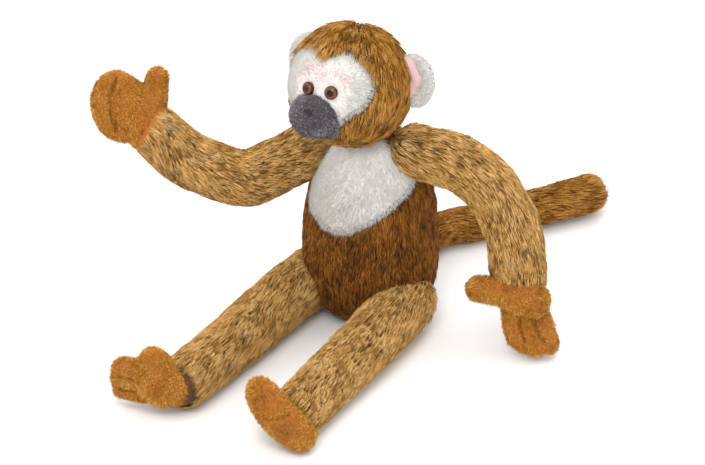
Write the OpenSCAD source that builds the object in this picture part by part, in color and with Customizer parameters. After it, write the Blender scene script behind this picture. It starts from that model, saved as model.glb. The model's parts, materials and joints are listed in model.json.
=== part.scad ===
// Stuffed monkey, seated, with long stuffed limbs that swing at their seams.
// +Z is up, the belly faces -Y, its own left side is +X, the seat rests on z = 0.

/* [Fabric] */
// Thickness of the pile fabric with its backing
wall = 2.4; // [1.8:0.2:3.0]
// Room left between a skin and the stuffing behind it
slack = 0.2; // [0.1:0.1:0.4]
// Running room between two parts that move past each other
gap = 0.5; // [0.4:0.1:0.8]

/* [Torso] */
// Radius of the belly
torso_r = 53; // [50:1:55]
// Height of the widest point of the belly
torso_mid = 55; // [50:1:60]
// Height from the widest point up to the crown under the neck
torso_rise = 108; // [104:1:112]
// Height of the flat top under the neck
torso_top = 158; // [156:1:158]
// Squareness of the outline, 2 for an ellipse
torso_power = 2.8; // [2.4:0.1:3.2]
// Lean towards its own right side, in degrees
torso_lean = 2; // [0:1:4]
// Radius of the white bib across the chest
bib_r = 46; // [42:1:48]
// Height of the bib's centre
bib_z = 143; // [140:1:146]
// Radius of the pellet bag that weighs down the seat
bag_r = 15; // [12:1:16]
// Height of the pellet bag
bag_h = 36; // [30:1:38]

/* [Head] */
// Centre of the head
head_at = [-12, -12, 204]; // [-20:1:210]
// Radius of the head
head_r = 48; // [46:1:49]
// Turn, tilt up and sideways tilt of the face, in degrees
face_turn = [-5, 15, 7]; // [-10:1:20]
// Radius of the white face patch, seen from the front
mask_r = 37; // [34:1:39]
// Radius of the stuffed muzzle
muzzle_r = 20; // [18:1:21]
// Distance of the muzzle's centre from the head's centre
muzzle_out = 41; // [40:1:43]
// Radius of an eye
eye_r = 5.2; // [4.8:0.1:5.6]
// Angle of each eye to the side of the face
eye_side = 13; // [12:1:15]
// Angle of the eyes above the middle of the face
eye_up = 7; // [5:1:9]
// Radius of an ear
ear_r = 19; // [17:1:20]
// Thickness of an ear
ear_t = 7; // [6:1:8]
// Centre of an ear: out, back, height of the left one and height of the right one, in the head's frame
ear_place = [49, 25, 10, 16]; // [-60:1:60]

/* [Arms] */
// Radius of a stuffed arm
arm_r = 21.5; // [20:0.5:22]
// Left shoulder, elbow and wrist
left_arm = [[36, 5, 148], [106, 5, 134], [128, 5, 50]]; // [-70:1:160]
// Right shoulder, elbow and wrist
right_arm = [[-45, -6, 138], [-88, -47, 113], [-164, -62, 148]]; // [-170:1:160]

/* [Legs] */
// Radius of a stuffed leg
leg_r = 22; // [21:0.5:22.5]
// Left hip, knee and ankle
left_leg = [[41, -17, 22], [40, -109, 22], [38, -202, 22]]; // [-210:1:60]
// Right hip, knee and ankle
right_leg = [[-41, -17, 22], [-50, -109, 22], [-59, -201, 22]]; // [-210:1:60]

/* [Tail] */
// Radius of the tail
tail_r = 13.5; // [12:0.5:14]
// Root, bend and tip of the tail
tail = [[2, 46, 13.5], [8, 100, 13.5], [88, 196, 13.5]]; // [0:1:200]

/* [Hidden] */
$fn = 96;

// Largest bend between two limb segments, in degrees
elbow_bend = 90;
knee_bend = 46;
tail_bend = 74;
// Length of the plug that each hand and foot keeps inside its sleeve
plug_len = 14;
// Distance that a sleeve's hem stops short of the wrist or ankle
hem_back = 4;
// Reach of the cuts that clear a pocket, past the torso's surface
reach = 90;
// Places on a hand: palm, thumb root and tip, then each finger's root and tip
left_hand_palm = [[128, 2, 42], [139, 3, 34]];
left_hand_thumb = [[122, -6, 47], [103, -16, 52]];
left_hand_fingers = [[[123, -8, 33], [129, -16, 18]], [[133, -2, 30], [140, -10, 13]],
                     [[144, 4, 29], [152, -4, 14]]];
right_hand_palm = [[-177, -66, 147], [-173, -60, 163]];
right_hand_thumb = [[-162, -55, 164], [-160, -42, 186]];
right_hand_fingers = [[[-190, -60, 175], [-191, -77, 186]], [[-188, -68, 165], [-193, -88, 176]],
                      [[-184, -72, 154], [-186, -90, 164]]];
left_foot_lobes = [[[23, -213, 38], [30, -214, 34]], [[32, -215, 24], [44, -214, 20]]];
right_foot_lobes = [[[-72, -212, 22], [-76, -213, 40]]];
right_foot_toes = [for (z = [10, 21, 32]) [[-84, -216, z], [-106, -221, z]]];
palm_r = 13;
thumb_r = 9;
finger_r = 7.5;
left_lobe_r = 17;
right_lobe_r = 18;
toe_r = 7;

// Direction angles of a vector, as the rotation that turns +X onto it
function heading(v) = atan2(v.y, v.x);
function pitch(v) = atan2(v.z, norm([v.x, v.y]));
function torso_half_width(z, inset) = (torso_r - inset)
    * pow(1 - pow(abs(z - torso_mid) / (torso_rise - inset), torso_power), 1 / torso_power);

// Puts its children at a point, with their +X along the given direction
module aimed(at, v) translate(at) rotate([0, -pitch(v), heading(v)]) children();

// Stuffed bar from point a to point b, with its ends cut square
module bar(a, b, r, from = 0, short = 0)
    aimed(a, b - a) translate([from, 0, 0]) rotate([0, 90, 0])
        cylinder(r = r, h = norm(b - a) - from - short);

// Stuffed bar with round ends
module sausage(a, b, r) aimed(a, b - a) rotate([0, 90, 0]) union() {
    cylinder(r = r, h = norm(b - a));
    sphere(r);
    translate([0, 0, norm(b - a)]) sphere(r);
}

// Room in the torso for a limb root of radius r to swing from pitch lo to pitch hi
module swing_room(at, v, lo, hi, r) {
    half = r + gap;
    step = (180 + lo - hi) / 5;
    back = [for (i = [0 : 5]) half / cos(step / 2) * [cos(hi + 90 + i * step), sin(hi + 90 + i * step)]];
    front = [reach * [cos(lo), sin(lo)] + half * [sin(lo), -cos(lo)],
             reach * [cos(hi), sin(hi)] + half * [-sin(hi), cos(hi)]];
    translate(at) rotate([0, 0, heading(v)]) rotate([90, 0, 0])
        linear_extrude(height = 2 * half, center = true) polygon(concat(back, front));
}

// ---- torso ----

module torso_form(inset) intersection() {
    rotate([0, -torso_lean, 0]) rotate_extrude() polygon(concat(
        [[0, -10]],
        [for (z = [-10 : 14 : 144]) [torso_half_width(z, inset), z]],
        [[torso_half_width(153, inset), 153], [torso_half_width(159, inset), 159], [0, 159]]));
    translate([-100, -100, inset]) cube([200, 200, torso_top - 2 * inset]);
}

module torso_cuts() {
    swing_room(left_arm[0], left_arm[1] - left_arm[0], -14, 38, arm_r);
    swing_room(right_arm[0], right_arm[1] - right_arm[0], -56, 4, arm_r);
    swing_room(left_leg[0], left_leg[1] - left_leg[0], -2, 32, leg_r);
    swing_room(right_leg[0], right_leg[1] - right_leg[0], -2, 32, leg_r);
    swing_room(tail[0], tail[1] - tail[0], -2, 52, tail_r);
    translate(head_at) sphere(head_r + gap);
}

module bib_prism(grow) translate([-5, -12, bib_z]) rotate([90, 0, 0]) cylinder(r = bib_r + grow, h = 90);

module body_skin() color("peru") difference() {
    torso_form(0);
    torso_form(wall);
    bib_prism(0);
    torso_cuts();
}

module chest_bib() color("white") difference() {
    intersection() {
        torso_form(0);
        bib_prism(-0.1);
    }
    torso_form(wall);
    torso_cuts();
}

module pellet_bag_form(grow)
    translate([0, 8, wall + slack + 1 - grow]) cylinder(r = bag_r + grow, h = bag_h + 2 * grow);

module body_filling() color("whitesmoke") difference() {
    torso_form(wall + slack);
    torso_cuts();
    pellet_bag_form(slack);
}

module seat_pellet_bag() color("gainsboro") pellet_bag_form(0);

// ---- head ----

module in_head() translate(head_at) rotate([0, 0, face_turn[0]]) rotate([-face_turn[1], 0, 0])
    rotate([0, -face_turn[2], 0]) children();

// Looks out from the head's centre: +X points at the given side and height of the face
module looking(side, up) rotate([0, 0, side - 90]) rotate([0, -up, 0]) children();

// Disc or stem on that line of sight, between two distances from the head's centre
module stem(r, near, far) translate([near, 0, 0]) rotate([0, 90, 0]) cylinder(r = r, h = far - near);

module mask_prism(grow) looking(0, 5) stem(mask_r + grow, 10, head_r + 10);

// Ball about the head's centre, with its poles in line with the face patch
module head_ball(r) looking(0, 5) rotate([0, 90, 0]) sphere(r);

module eye_holes(grow) for (s = [-1, 1]) looking(s * eye_side, eye_up) stem(1.6 + grow, 34, head_r + 2);

module head_skin() color("peru") in_head() difference() {
    head_ball(head_r);
    head_ball(head_r - wall);
    mask_prism(0);
}

module face_mask() color("white") in_head() difference() {
    intersection() {
        head_ball(head_r);
        mask_prism(-0.1);
    }
    head_ball(head_r - wall);
    eye_holes(0.1);
}

module head_filling() color("whitesmoke") in_head() difference() {
    sphere(head_r - wall - slack);
    eye_holes(0.2);
    for (s = [-1, 1]) looking(s * eye_side, eye_up) stem(6.8, 42.6, head_r);
}

module muzzle() color("slategray") in_head() difference() {
    looking(0, -14) translate([muzzle_out, 0, 0]) sphere(muzzle_r);
    sphere(head_r + 0.1);
    for (s = [-1, 1]) looking(s * eye_side, eye_up) stem(eye_r + gap, 30, head_r + 20);
}

module nose_stitch() color("black") in_head()
    looking(0, -10) stem(3, muzzle_out + muzzle_r - 0.1, muzzle_out + muzzle_r + 0.8);

// Domed eye with the stem that passes through the face and into its washer
module eye(s) color("saddlebrown") in_head() looking(s * eye_side, eye_up) rotate([0, 90, 0])
    rotate_extrude() polygon(concat(
        [[0, 36], [1.6, 36], [1.6, head_r + 0.6]],
        [for (t = [0 : 15 : 90]) [eye_r * cos(t), head_r + 0.6 + 0.75 * eye_r * sin(t)]]));

module eye_washer(s) color("white") in_head() looking(s * eye_side, eye_up) difference() {
    stem(6.5, 42.9, 44.5);
    stem(1.7, 40, head_r);
}

module in_ear(s) translate([s * ear_place[0], ear_place[1], ear_place[s > 0 ? 2 : 3]])
    rotate([90, 0, -8 * s]) children();

module ear_outer(s) color("white") in_head() difference() {
    in_ear(s) cylinder(r = ear_r, h = ear_t, center = true);
    in_ear(s) translate([-s * 4, 0, ear_t / 2 - 2]) cylinder(r = ear_r * 0.6, h = 4);
    sphere(head_r + 0.1);
}

module ear_inner(s) color("pink") in_head() difference() {
    in_ear(s) translate([-s * 4, 0, ear_t / 2 - 1.9]) cylinder(r = ear_r * 0.6 - 0.1, h = 2.4);
    sphere(head_r + 0.1);
}

// ---- limbs ----

// First segment of a limb: a ball in the torso's pocket, a tube, and the ball that carries the next segment
module root_skin(j, r) color("peru") difference() {
    sausage(j[0], j[1], r);
    sausage(j[0], j[1], r - wall);
}

module root_filling(j, r) color("whitesmoke") sausage(j[0], j[1], r - wall - slack);

// Distance from a joint at which the next segment can start and still bend that far
function clear_start(r, bend) = r * tan(bend / 2) + gap;

// Second segment: an open sleeve past the joint ball, with its stuffing inside
module sleeve_skin(j, r, bend, hem) color("peru") difference() {
    bar(j[1], j[2], r, clear_start(r, bend), hem);
    bar(j[1], j[2], r - wall);
    translate(j[1]) sphere(r + gap);
}

module sleeve_filling(j, r, bend, back) color("whitesmoke") difference() {
    bar(j[1], j[2], r - wall - slack, clear_start(r, bend), back);
    translate(j[1]) sphere(r + gap);
}

// Plug of a hand or foot, inside the hem of its sleeve
module plug(j, r) bar(j[2], 2 * j[2] - j[1], r, -plug_len, norm(j[2] - j[1]) - 4);

// Ring of room for a sleeve's hem, taken out of the hand or foot
module hem_room(j, r) difference() {
    bar(j[1], j[2], r + gap, 0, hem_back - gap);
    bar(j[1], j[2], r - wall - gap);
}

// ---- hands and feet ----

module mitt(j, palm, thumb, fingers) {
    plug(j, arm_r - wall - 2);
    sausage(palm[0], palm[1], palm_r);
    sausage(thumb[0], thumb[1], thumb_r);
    for (f = fingers) sausage(f[0], f[1], finger_r);
}

module hand_l() color("goldenrod") difference() {
    mitt(left_arm, left_hand_palm, left_hand_thumb, left_hand_fingers);
    translate(left_hand_palm[0]) sphere(palm_r - wall);
    hem_room(left_arm, arm_r);
}

module hand_filling_l() color("whitesmoke") translate(left_hand_palm[0]) sphere(palm_r - wall - slack);

module hand_r() color("goldenrod") difference() {
    mitt(right_arm, right_hand_palm, right_hand_thumb, right_hand_fingers);
    translate(right_hand_palm[0]) sphere(palm_r - wall);
    hem_room(right_arm, arm_r);
}

module hand_filling_r() color("whitesmoke") translate(right_hand_palm[0]) sphere(palm_r - wall - slack);

module foot_l() color("goldenrod") difference() {
    union() {
        plug(left_leg, leg_r - wall - 2);
        for (lobe = left_foot_lobes) sausage(lobe[0], lobe[1], left_lobe_r);
    }
    translate(left_foot_lobes[0][0]) sphere(left_lobe_r - wall);
    hem_room(left_leg, leg_r);
}

module foot_filling_l() color("whitesmoke") translate(left_foot_lobes[0][0]) sphere(left_lobe_r - wall - slack);

module foot_r() color("goldenrod") difference() {
    union() {
        plug(right_leg, leg_r - wall - 2);
        for (lobe = right_foot_lobes) sausage(lobe[0], lobe[1], right_lobe_r);
        for (toe = right_foot_toes) sausage(toe[0], toe[1], toe_r);
    }
    translate(right_foot_lobes[0][1]) sphere(right_lobe_r - wall);
    hem_room(right_leg, leg_r);
}

module foot_filling_r() color("whitesmoke") translate(right_foot_lobes[0][1]) sphere(right_lobe_r - wall - slack);

// ---- tail ----

module tail_tip_form(r, from) aimed(tail[1], tail[2] - tail[1]) rotate([0, 90, 0]) difference() {
    union() {
        translate([0, 0, from]) cylinder(r = r, h = norm(tail[2] - tail[1]) - from);
        translate([0, 0, norm(tail[2] - tail[1])]) sphere(r);
    }
    sphere(tail_r + gap);
}

module tail_tip_skin() color("peru") difference() {
    tail_tip_form(tail_r, clear_start(tail_r, tail_bend));
    tail_tip_form(tail_r - wall, 0);
}

module tail_tip_filling() color("whitesmoke")
    tail_tip_form(tail_r - wall - slack, clear_start(tail_r, tail_bend));

body_skin();
chest_bib();
body_filling();
seat_pellet_bag();
head_skin();
face_mask();
head_filling();
muzzle();
nose_stitch();
eye(1);  // eye_l
eye(-1);  // eye_r
eye_washer(1);  // eye_washer_l
eye_washer(-1);  // eye_washer_r
ear_outer(1);  // ear_outer_l
ear_outer(-1);  // ear_outer_r
ear_inner(1);  // ear_inner_l
ear_inner(-1);  // ear_inner_r
root_skin(left_arm, arm_r);  // upper_arm_skin_l
root_filling(left_arm, arm_r);  // upper_arm_filling_l
sleeve_skin(left_arm, arm_r, elbow_bend, hem_back);  // forearm_skin_l
sleeve_filling(left_arm, arm_r, elbow_bend, plug_len + 1);  // forearm_filling_l
hand_l();
hand_filling_l();
root_skin(right_arm, arm_r);  // upper_arm_skin_r
root_filling(right_arm, arm_r);  // upper_arm_filling_r
sleeve_skin(right_arm, arm_r, elbow_bend, hem_back);  // forearm_skin_r
sleeve_filling(right_arm, arm_r, elbow_bend, plug_len + 1);  // forearm_filling_r
hand_r();
hand_filling_r();
root_skin(left_leg, leg_r);  // thigh_skin_l
root_filling(left_leg, leg_r);  // thigh_filling_l
sleeve_skin(left_leg, leg_r, knee_bend, hem_back);  // shin_skin_l
sleeve_filling(left_leg, leg_r, knee_bend, plug_len + 1);  // shin_filling_l
foot_l();
foot_filling_l();
root_skin(right_leg, leg_r);  // thigh_skin_r
root_filling(right_leg, leg_r);  // thigh_filling_r
sleeve_skin(right_leg, leg_r, knee_bend, hem_back);  // shin_skin_r
sleeve_filling(right_leg, leg_r, knee_bend, plug_len + 1);  // shin_filling_r
foot_r();
foot_filling_r();
root_skin(tail, tail_r);  // tail_base_skin
root_filling(tail, tail_r);  // tail_base_filling
tail_tip_skin();
tail_tip_filling();
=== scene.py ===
"""A seated stuffed monkey: long combed pile on stuffed limbs, white mask and bib, boa hands and feet."""

import json
import logging
import math
from collections.abc import Callable, Sequence
from dataclasses import dataclass, field
from enum import Enum

import bmesh
import bpy
import numpy as np
from mathutils import Matrix, Vector
from mathutils.kdtree import KDTree


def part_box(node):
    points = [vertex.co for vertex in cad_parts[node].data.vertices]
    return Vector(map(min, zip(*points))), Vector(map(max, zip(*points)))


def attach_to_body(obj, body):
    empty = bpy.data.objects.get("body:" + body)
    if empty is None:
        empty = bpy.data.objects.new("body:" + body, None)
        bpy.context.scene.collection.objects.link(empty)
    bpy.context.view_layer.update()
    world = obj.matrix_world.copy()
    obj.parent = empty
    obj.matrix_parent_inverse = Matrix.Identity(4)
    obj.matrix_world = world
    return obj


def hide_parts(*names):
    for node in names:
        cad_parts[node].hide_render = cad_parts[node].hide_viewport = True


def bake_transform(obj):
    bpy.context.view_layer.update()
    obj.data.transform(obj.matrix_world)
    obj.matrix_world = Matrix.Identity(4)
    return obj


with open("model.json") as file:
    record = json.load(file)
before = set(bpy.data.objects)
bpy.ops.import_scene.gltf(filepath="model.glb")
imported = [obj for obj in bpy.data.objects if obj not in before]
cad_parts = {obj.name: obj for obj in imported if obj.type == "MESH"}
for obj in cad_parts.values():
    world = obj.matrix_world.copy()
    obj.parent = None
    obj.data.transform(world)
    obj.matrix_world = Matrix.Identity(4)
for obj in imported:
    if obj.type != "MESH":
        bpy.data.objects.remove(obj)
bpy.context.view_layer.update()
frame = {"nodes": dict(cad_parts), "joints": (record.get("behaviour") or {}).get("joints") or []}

log = logging.getLogger("monkey")

MM = 0.001
PIVOTS = {joint["name"]: Vector(joint["pos_m"]) for joint in frame["joints"]}
TRIANGLES_PER_PIECE = 198000
FLOOR_CLEARANCE = 0.6 * MM

Points = np.ndarray
Comb = Callable[[Points, Points], Points]
Where = Callable[[Points, Points], np.ndarray]
Attach = Callable[[bpy.types.Object], None]


def dye(red: int, green: int, blue: int) -> tuple[float, float, float, float]:
    """Turn a dye given as 0 to 255 per channel into a linear colour.

    Args:
        red: Red of the dye.
        green: Green of the dye.
        blue: Blue of the dye.

    Returns:
        The linear colour with full alpha.
    """
    linear = [((c / 255 + 0.055) / 1.055) ** 2.4 for c in (red, green, blue)]
    return (linear[0], linear[1], linear[2], 1.0)


class Side(Enum):
    """The toy's own left and right."""

    LEFT = "l"
    RIGHT = "r"

    @property
    def sign(self) -> int:
        """Sign of X on this side."""
        return 1 if self is Side.LEFT else -1


# ---- shader maths ----


class Value:
    """A number in a shader. An expression on values adds its Math nodes."""

    def __init__(self, graph: "Graph", socket: bpy.types.NodeSocket) -> None:
        """Wrap one output socket of a graph."""
        self.graph = graph
        self.socket = socket

    def _with(self, operation: str, first: "Value | float", second: "Value | float" = 0.0) -> "Value":
        """Add one Math node.

        Args:
            operation: Name of the Math operation.
            first: First operand.
            second: Second operand.

        Returns:
            The result as a value.
        """
        made = self.graph.node("ShaderNodeMath", {"operation": operation}, {0: first, 1: second})
        return Value(self.graph, made.outputs[0])

    def __add__(self, other: "Value | float") -> "Value":
        """Sum."""
        return self._with("ADD", self, other)

    def __radd__(self, other: float) -> "Value":
        """Sum with a plain number on the left."""
        return self._with("ADD", other, self)

    def __sub__(self, other: "Value | float") -> "Value":
        """Difference."""
        return self._with("SUBTRACT", self, other)

    def __rsub__(self, other: float) -> "Value":
        """Difference from a plain number."""
        return self._with("SUBTRACT", other, self)

    def __mul__(self, other: "Value | float") -> "Value":
        """Product."""
        return self._with("MULTIPLY", self, other)

    def __rmul__(self, other: float) -> "Value":
        """Product with a plain number on the left."""
        return self._with("MULTIPLY", other, self)

    def __pow__(self, other: "Value | float") -> "Value":
        """Power."""
        return self._with("POWER", self, other)

    def ramp(self, low: float, high: float) -> "Value":
        """Rise smoothly from 0 at low to 1 at high.

        Args:
            low: Value that gives 0.
            high: Value that gives 1.

        Returns:
            The eased value.
        """
        made = self.graph.node(
            "ShaderNodeMapRange", {"interpolation_type": "SMOOTHSTEP"}, {0: self, 1: low, 2: high, 3: 0.0, 4: 1.0}
        )
        return Value(self.graph, made.outputs[0])


class Graph:
    """The nodes of one material."""

    def __init__(self, name: str) -> None:
        """Start an empty material.

        Args:
            name: The material's name.
        """
        self.material = bpy.data.materials.new(name)
        self.material.use_nodes = True
        self.tree = self.material.node_tree
        self.tree.nodes.clear()

    def node(self, kind: str, settings: dict | None = None, inputs: dict | None = None) -> bpy.types.Node:
        """Add a node, with its settings made before its sockets.

        Args:
            kind: The node's type.
            settings: Properties of the node.
            inputs: Values or links of its sockets, by name or number.

        Returns:
            The node.
        """
        made = self.tree.nodes.new(kind)
        for key, value in (settings or {}).items():
            setattr(made, key, value)
        for key, value in (inputs or {}).items():
            if isinstance(value, Value):
                self.tree.links.new(value.socket, made.inputs[key])
            elif isinstance(value, bpy.types.NodeSocket):
                self.tree.links.new(value, made.inputs[key])
            else:
                made.inputs[key].default_value = value
        return made

    def noise(self, scale: float, detail: float = 2.0, stretch: Sequence[float] = (1, 1, 1)) -> Value:
        """Give noise on Object coordinates.

        Args:
            scale: Waves per metre.
            detail: Octaves of finer noise.
            stretch: Scale along each axis.

        Returns:
            Noise from 0 to 1.
        """
        place = self.node("ShaderNodeTexCoord").outputs["Object"]
        moved = self.node("ShaderNodeMapping", None, {"Vector": place, "Scale": tuple(stretch)}).outputs[0]
        made = self.node("ShaderNodeTexNoise", None, {"Vector": moved, "Scale": scale, "Detail": detail})
        return Value(self, made.outputs[0])

    def attribute(self, name: str) -> Value:
        """Read a number stored on the piece's points."""
        made = self.node("ShaderNodeAttribute", {"attribute_name": name})
        return Value(self, made.outputs["Fac"])

    def mix(self, factor: Value | float, first: object, second: object) -> bpy.types.NodeSocket:
        """Mix two colours.

        Args:
            factor: 0 gives the first colour and 1 the second.
            first: Colour or socket.
            second: Colour or socket.

        Returns:
            The mixed colour's socket.
        """
        made = self.node("ShaderNodeMix", {"data_type": "RGBA"}, {0: factor, 6: first, 7: second})
        return made.outputs[2]

    def bump(self, height: Value, distance: float, strength: float = 1.0) -> bpy.types.NodeSocket:
        """Turn a height into a normal.

        Args:
            height: Height from 0 to 1.
            distance: Real height of 1, in metres.
            strength: Strength of the effect.

        Returns:
            The normal's socket.
        """
        made = self.node("ShaderNodeBump", None, {"Height": height, "Distance": distance, "Strength": strength})
        return made.outputs[0]

    def surface(self, **sockets: object) -> bpy.types.Material:
        """Finish the material with a Principled shader.

        Args:
            sockets: The shader's sockets, with spaces written as underscores.

        Returns:
            The material.
        """
        named = {key.replace("_", " "): value for key, value in sockets.items()}
        shader = self.node("ShaderNodeBsdfPrincipled", None, named)
        self.node("ShaderNodeOutputMaterial", None, {"Surface": shader.outputs[0]})
        return self.material


# ---- finishes ----


@dataclass(frozen=True)
class PileFinish:
    """Dyed pile: a deep root, made darker as painted shade between the strands, a middle, and a lit tip that is a
    painted highlight, with some strands tipped dark.
    """

    name: str
    root: tuple[float, float, float, float]
    middle: tuple[float, float, float, float]
    tip: tuple[float, float, float, float]
    dark: tuple[float, float, float, float]
    roughness: float = 0.6
    sheen: float = 0.02

    def make(self) -> bpy.types.Material:
        """Build the material from the strands' own attributes."""
        graph = Graph(self.name)
        along = graph.attribute("along")
        tone = graph.attribute("tone")
        dark = graph.attribute("dark")
        crease = graph.attribute("crease")
        patches = graph.noise(38.0, 3.0)
        # Darker towards the root: painted shade between the strands.
        lower = graph.mix(along.ramp(-0.2, 0.7) * (0.3 + 0.7 * tone.ramp(0.0, 0.55)), self.root, self.middle)
        # Lighter towards the tip, in noisy patches: painted highlight.
        light = graph.mix(along.ramp(0.2, 1.0) * tone.ramp(0.25, 0.95) * (0.4 + 0.9 * patches), lower, self.tip)
        streaked = graph.mix(dark * along.ramp(0.1, 0.75) * (0.6 + 0.6 * patches), light, self.dark)
        # Near creases, seams and hems the colour is pulled to the root colour: painted shade in the folds.
        folded = graph.mix(crease * 0.85, streaked, self.root)
        rough = self.roughness + 0.15 * tone
        return graph.surface(
            Base_Color=folded, Roughness=rough, Sheen_Weight=self.sheen, Sheen_Roughness=0.5,
            Specular_IOR_Level=0.12,
        )


@dataclass(frozen=True)
class BlushedPileFinish:
    """Short pale pile with a blush sprayed on where the blush attribute says."""

    name: str
    root: tuple[float, float, float, float]
    tip: tuple[float, float, float, float]
    blush: tuple[float, float, float, float]
    roughness: float = 0.75

    def make(self) -> bpy.types.Material:
        """Build the material from the strands' own attributes."""
        graph = Graph(self.name)
        along = graph.attribute("along")
        tone = graph.attribute("tone")
        patches = graph.noise(60.0, 2.0)
        pale = graph.mix(along.ramp(0.0, 0.8) * (0.6 + 0.4 * tone), self.root, self.tip)
        blushed = graph.mix(graph.attribute("blush") * (0.6 + 0.6 * patches), pale, self.blush)
        # Near creases the colour is pulled towards the root colour: painted shade in the folds.
        folded = graph.mix(graph.attribute("crease") * 0.6, blushed, self.root)
        return graph.surface(
            Base_Color=folded, Roughness=self.roughness, Sheen_Weight=0.05, Specular_IOR_Level=0.15
        )


@dataclass(frozen=True)
class BackingFinish:
    """Knitted backing cloth under a pile."""

    name: str
    light: tuple[float, float, float, float]
    deep: tuple[float, float, float, float]

    def make(self) -> bpy.types.Material:
        """Build a mottled knit with fine ribs."""
        graph = Graph(self.name)
        fine = graph.noise(900.0, 3.0, (1, 1, 2.5))
        broad = graph.noise(70.0, 3.0)
        colour = graph.mix(fine.ramp(0.3, 0.7) * (0.4 + 0.6 * broad), self.deep, self.light)
        return graph.surface(
            Base_Color=colour, Roughness=0.85, Sheen_Weight=0.03, Normal=graph.bump(fine, 0.4 * MM)
        )


@dataclass(frozen=True)
class EyeFinish:
    """Moulded eye: black pupil, red-brown iris with fine rays and a dark rim, under a clear gloss."""

    name: str
    pupil: tuple[float, float, float, float]
    iris: tuple[float, float, float, float]
    rim: tuple[float, float, float, float]

    def make(self) -> bpy.types.Material:
        """Build the rings from the eye's ring attribute."""
        graph = Graph(self.name)
        ring = graph.attribute("ring")
        rays = graph.noise(1400.0, 2.0)
        iris = graph.mix(rays.ramp(0.35, 0.7), self.iris, self.rim)
        inner = graph.mix(ring.ramp(0.5, 0.56), self.pupil, iris)
        outer = graph.mix(ring.ramp(0.84, 0.92), inner, self.rim)
        return graph.surface(
            Base_Color=outer, Roughness=0.12, Coat_Weight=0.2, Coat_Roughness=0.05, Specular_IOR_Level=0.25
        )


@dataclass(frozen=True)
class ThreadFinish:
    """Twisted sewing thread."""

    name: str
    light: tuple[float, float, float, float]
    deep: tuple[float, float, float, float]

    def make(self) -> bpy.types.Material:
        """Build a fine twist with a soft shine."""
        graph = Graph(self.name)
        twist = graph.noise(2600.0, 2.0, (1, 1, 3))
        colour = graph.mix(twist, self.deep, self.light)
        return graph.surface(Base_Color=colour, Roughness=0.45, Normal=graph.bump(twist, 0.15 * MM))


@dataclass(frozen=True)
class InnerFinish:
    """Matt inner material: stuffing, a bead bag or a moulded washer."""

    name: str
    light: tuple[float, float, float, float]
    deep: tuple[float, float, float, float]
    grain: float
    roughness: float

    def make(self) -> bpy.types.Material:
        """Build a grainy matt material."""
        graph = Graph(self.name)
        grain = graph.noise(self.grain, 4.0)
        colour = graph.mix(grain, self.deep, self.light)
        return graph.surface(
            Base_Color=colour, Roughness=self.roughness, Normal=graph.bump(grain, 0.5 * MM)
        )


class Finishes:
    """Every finish of the toy, made once."""

    def __init__(self) -> None:
        """Make the materials."""
        # A lighter copy of the brown pile for the arms and legs: painted light.
        self.painted_light_pile = PileFinish(
            "brown_pile_painted_light", dye(92, 54, 14), dye(232, 176, 92), dye(254, 228, 170), dye(46, 28, 12)
        ).make()
        self.brown_pile = PileFinish(
            "brown_pile", dye(70, 40, 9), dye(198, 132, 42), dye(248, 200, 114), dye(32, 20, 8)
        ).make()
        # A darker copy of the brown pile for the trunk: painted shade.
        self.painted_shade_pile = PileFinish(
            "brown_pile_painted_shade", dye(50, 26, 4), dye(152, 90, 22), dye(222, 158, 74), dye(24, 14, 6)
        ).make()
        self.tan_pile = PileFinish(
            "tan_boa", dye(126, 68, 8), dye(222, 154, 44), dye(254, 216, 126), dye(132, 70, 10), 0.65
        ).make()
        self.grey_pile = PileFinish(
            "grey_velvet", dye(48, 44, 50), dye(130, 122, 128), dye(212, 204, 210), dye(40, 36, 42), 0.6
        ).make()
        self.white_pile = BlushedPileFinish(
            "white_plush_pile", dye(232, 229, 224), dye(240, 238, 233), dye(236, 186, 188)
        ).make()
        self.brown_backing = BackingFinish("brown_backing", dye(112, 66, 16), dye(56, 32, 8)).make()
        self.tan_backing = BackingFinish("tan_backing", dye(186, 116, 34), dye(140, 78, 16)).make()
        self.grey_backing = BackingFinish("grey_backing", dye(80, 74, 80), dye(50, 46, 52)).make()
        self.white_backing = BackingFinish("white_backing", dye(234, 231, 226), dye(216, 212, 206)).make()
        self.pink_backing = BackingFinish("pink_backing", dye(236, 206, 206), dye(220, 176, 178)).make()
        self.eye = EyeFinish("moulded_eye", dye(8, 6, 6), dye(140, 68, 40), dye(48, 20, 14)).make()
        self.thread = ThreadFinish("black_thread", dye(22, 20, 22), dye(6, 5, 6)).make()
        self.washer = InnerFinish("washer_plastic", dye(236, 236, 232), dye(214, 214, 208), 300.0, 0.4).make()
        self.bead_bag = InnerFinish("bead_bag_cloth", dye(220, 218, 210), dye(180, 176, 166), 420.0, 0.8).make()


# ---- mesh helpers ----


def place(name: str, mesh_source: bmesh.types.BMesh) -> bpy.types.Object:
    """Turn a bmesh into an object of the scene.

    Args:
        name: Name of the piece.
        mesh_source: The bmesh, which is freed.

    Returns:
        The new object.
    """
    mesh = bpy.data.meshes.new(name)
    mesh_source.to_mesh(mesh)
    mesh_source.free()
    piece = bpy.data.objects.new(name, mesh)
    bpy.context.scene.collection.objects.link(piece)
    return piece


def settle(piece: bpy.types.Object) -> None:
    """Apply a piece's modifiers to its mesh.

    Args:
        piece: The piece.
    """
    bpy.context.view_layer.update()
    seen = piece.evaluated_get(bpy.context.evaluated_depsgraph_get())
    finished = bpy.data.meshes.new_from_object(seen)
    piece.modifiers.clear()
    piece.data = finished


def points_of(piece: bpy.types.Object) -> Points:
    """Give a piece's points as an array of rows."""
    flat = np.empty(len(piece.data.vertices) * 3)
    piece.data.vertices.foreach_get("co", flat)
    return flat.reshape(-1, 3)


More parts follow.
